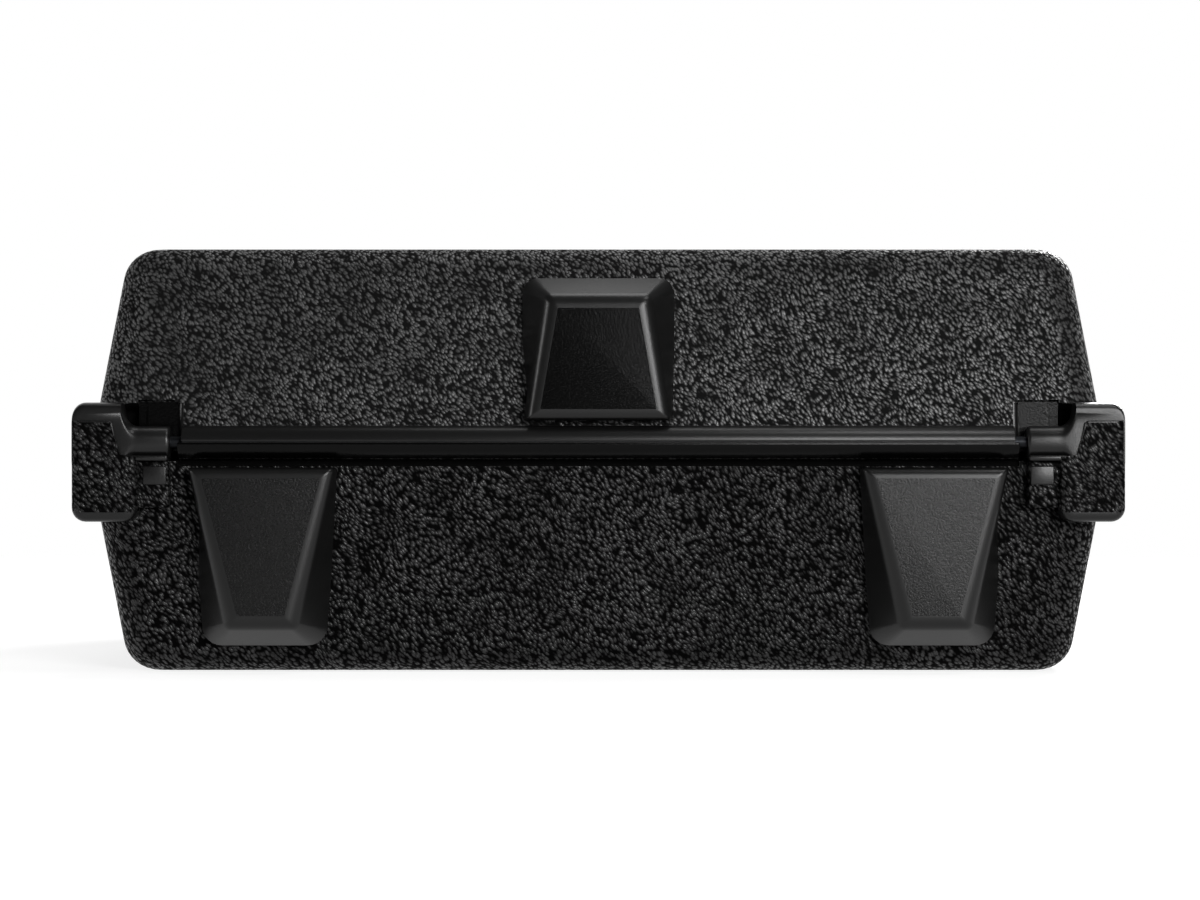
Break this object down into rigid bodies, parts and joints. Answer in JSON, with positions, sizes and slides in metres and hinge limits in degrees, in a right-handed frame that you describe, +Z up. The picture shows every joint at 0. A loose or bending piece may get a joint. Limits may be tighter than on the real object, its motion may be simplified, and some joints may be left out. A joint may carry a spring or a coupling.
{
  "type": "microphone case",
  "caption": "Black moulded carrying case with a hinged lid, draw latches, a swinging handle, rear feet and foam pockets for a microphone.",
  "frame": {"origin": "middle of the flat underside that the closed case lies on", "axes": "+X along the case's width, +Y from the hinge side to the latch and handle side, +Z up from the base to the lid"},
  "size_m": [0.264, 0.2206, 0.108],
  "materials": {
    "case_plastic": "leather-grained blow-moulded polyethylene",
    "latch_plastic": "smooth moulded nylon",
    "grip_rubber": "ribbed soft rubber",
    "bail_wire": "nickel-plated wire",
    "pin_steel": "plain steel",
    "foam": "charcoal open-cell foam"
  },
  "bodies": {
    "base": {"base_shell": "case_plastic", "hinge_pin_left": "pin_steel", "hinge_pin_right": "pin_steel", "base_foam_pad": "foam", "base_foam_insert": "foam", "latch_pin_left": "pin_steel", "latch_pin_right": "pin_steel", "handle_pin_left": "pin_steel", "handle_pin_right": "pin_steel"},
    "lid": {"lid_shell": "case_plastic", "lid_foam": "foam"},
    "lever_left": {"latch_lever_left": "latch_plastic"},
    "lever_right": {"latch_lever_right": "latch_plastic"},
    "bail_left": {"latch_bail_left": "bail_wire"},
    "bail_right": {"latch_bail_right": "bail_wire"},
    "handle": {"handle_frame": "latch_plastic", "handle_grip": "grip_rubber"}
  },
  "joints": [
    {"name": "lid_hinge", "type": "hinge", "parent": "base", "child": "lid", "pos_m": [0, -0.1015, 0.0585], "axis": [1, 0, 0], "range_deg": [0, 115]},
    {"name": "latch_left", "type": "hinge", "parent": "base", "child": "lever_left", "pos_m": [-0.085, 0.107, 0.034], "axis": [1, 0, 0], "range_deg": [0, 110]},
    {"name": "bail_left_swing", "type": "hinge", "parent": "lever_left", "child": "bail_left", "pos_m": [-0.085, 0.10616, 0.02806], "axis": [1, 0, 0], "range_deg": [-96.8, 0]},
    {"name": "latch_right", "type": "hinge", "parent": "base", "child": "lever_right", "pos_m": [0.085, 0.107, 0.034], "axis": [1, 0, 0], "range_deg": [0, 110]},
    {"name": "bail_right_swing", "type": "hinge", "parent": "lever_right", "child": "bail_right", "pos_m": [0.085, 0.10616, 0.02806], "axis": [1, 0, 0], "range_deg": [-96.8, 0]},
    {"name": "handle_swing", "type": "hinge", "parent": "base", "child": "handle", "pos_m": [0, 0.107, 0.046], "axis": [1, 0, 0], "range_deg": [0, 100]}
  ],
  "couplings": [
    {"joint": "bail_left_swing", "follows": "latch_left", "ratio": -0.88},
    {"joint": "bail_right_swing", "follows": "latch_right", "ratio": -0.88}
  ]
}
